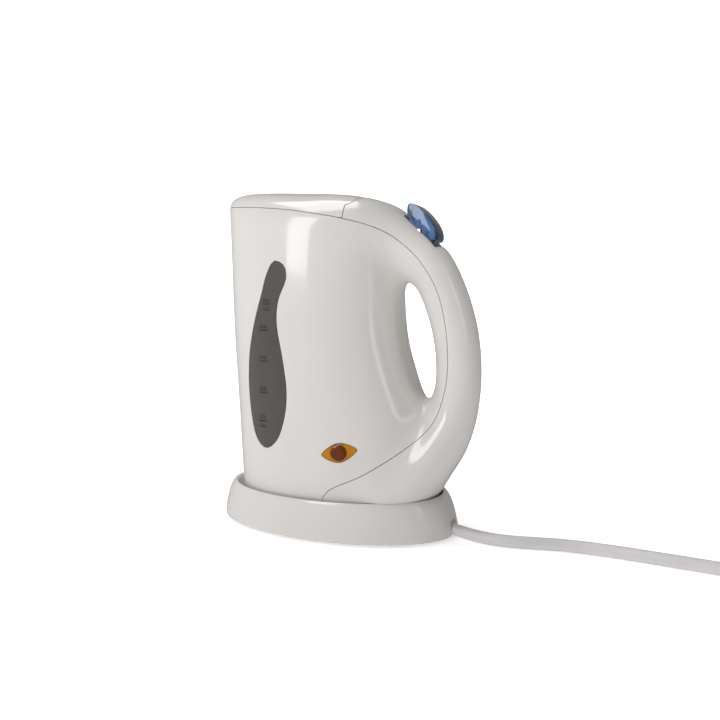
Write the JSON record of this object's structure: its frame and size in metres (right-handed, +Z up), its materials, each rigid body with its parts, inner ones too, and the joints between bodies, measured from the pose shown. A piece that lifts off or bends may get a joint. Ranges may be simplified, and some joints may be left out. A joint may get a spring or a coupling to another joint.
{
  "type": "electric kettle",
  "caption": "Small cordless jug kettle with a loop handle, hinged lid, side water windows, pilot lamp and rocker switch, standing on an oval power base with a mains cord and plug.",
  "frame": {"origin": "bottom centre of the bounding box of kettle and base together, on the table, without the cord and plug", "axes": "+Z up; the spout points to -X and the handle loop to +X; the side with the pilot lamp faces -Y"},
  "size_m": [0.4299, 0.1208, 0.1922],
  "materials": {
    "white_shell": "glossy injection-moulded polypropylene, warm white",
    "inner_plastic": "satin moulded polypropylene",
    "window": "smoked translucent plastic, clear when wet inside",
    "amber_lens": "transparent amber plastic",
    "lamp_glass": "clear neon bulb",
    "blue_switch": "transparent blue plastic",
    "foot_rubber": "soft grey-white rubber",
    "gasket_rubber": "black silicone rubber",
    "dark_plastic": "black glass-filled nylon",
    "steel": "stainless steel",
    "contact_brass": "bright brass contact strip",
    "pin_nickel": "nickel-plated brass",
    "cord_sheath": "white flexible PVC, satin",
    "wire_sheath": "PVC insulation, brown and blue"
  },
  "bodies": {
    "base": {"base_cover": "white_shell", "base_bottom_plate": "inner_plastic", "base_foot_1": "foot_rubber", "base_foot_2": "foot_rubber", "base_foot_3": "foot_rubber", "base_foot_4": "foot_rubber", "base_screw_1": "steel", "base_screw_2": "steel", "base_screw_3": "steel", "base_socket": "dark_plastic", "socket_contact_1": "contact_brass", "socket_contact_2": "contact_brass", "socket_contact_3": "contact_brass", "cord_clamp": "inner_plastic", "cord_lead": "cord_sheath", "cord_coil": "cord_sheath", "cord_tail": "cord_sheath", "plug_body": "cord_sheath", "plug_pin_1": "pin_nickel", "plug_pin_2": "pin_nickel"},
    "kettle": {"body_shell": "white_shell", "window_left": "window", "window_right": "window", "handle_cover": "white_shell", "kettle_bottom_cover": "inner_plastic", "bottom_screw_1": "steel", "bottom_screw_2": "steel", "bottom_screw_3": "steel", "pilot_lens": "amber_lens", "pilot_lamp": "lamp_glass", "element_tube": "steel", "element_flange": "steel", "element_gasket": "gasket_rubber", "controller": "dark_plastic", "connector_pin_1": "contact_brass", "connector_pin_2": "contact_brass", "connector_pin_3": "contact_brass", "filter_frame": "inner_plastic", "filter_mesh": "steel", "steam_disc": "steel", "trip_lever": "inner_plastic", "switch_block": "dark_plastic", "switch_wire_1": "wire_sheath", "switch_wire_2": "wire_sheath", "switch_pin": "steel", "hinge_pin": "steel"},
    "lid": {"lid_cover": "white_shell", "lid_liner": "inner_plastic"},
    "switch": {"switch_rocker": "blue_switch"}
  },
  "joints": [
    {"name": "kettle_lift", "type": "slide", "parent": "base", "child": "kettle", "axis": [0, 0, 1], "range_m": [0, 0.12]},
    {"name": "lid_hinge", "type": "hinge", "parent": "kettle", "child": "lid", "pos_m": [0.0128, 0, 0.1825], "axis": [0, 1, 0], "range_deg": [0, 75]},
    {"name": "switch_rock", "type": "hinge", "parent": "kettle", "child": "switch", "pos_m": [0.0473, 0, 0.1654], "axis": [0, -1, 0], "range_deg": [0, 8]}
  ]
}
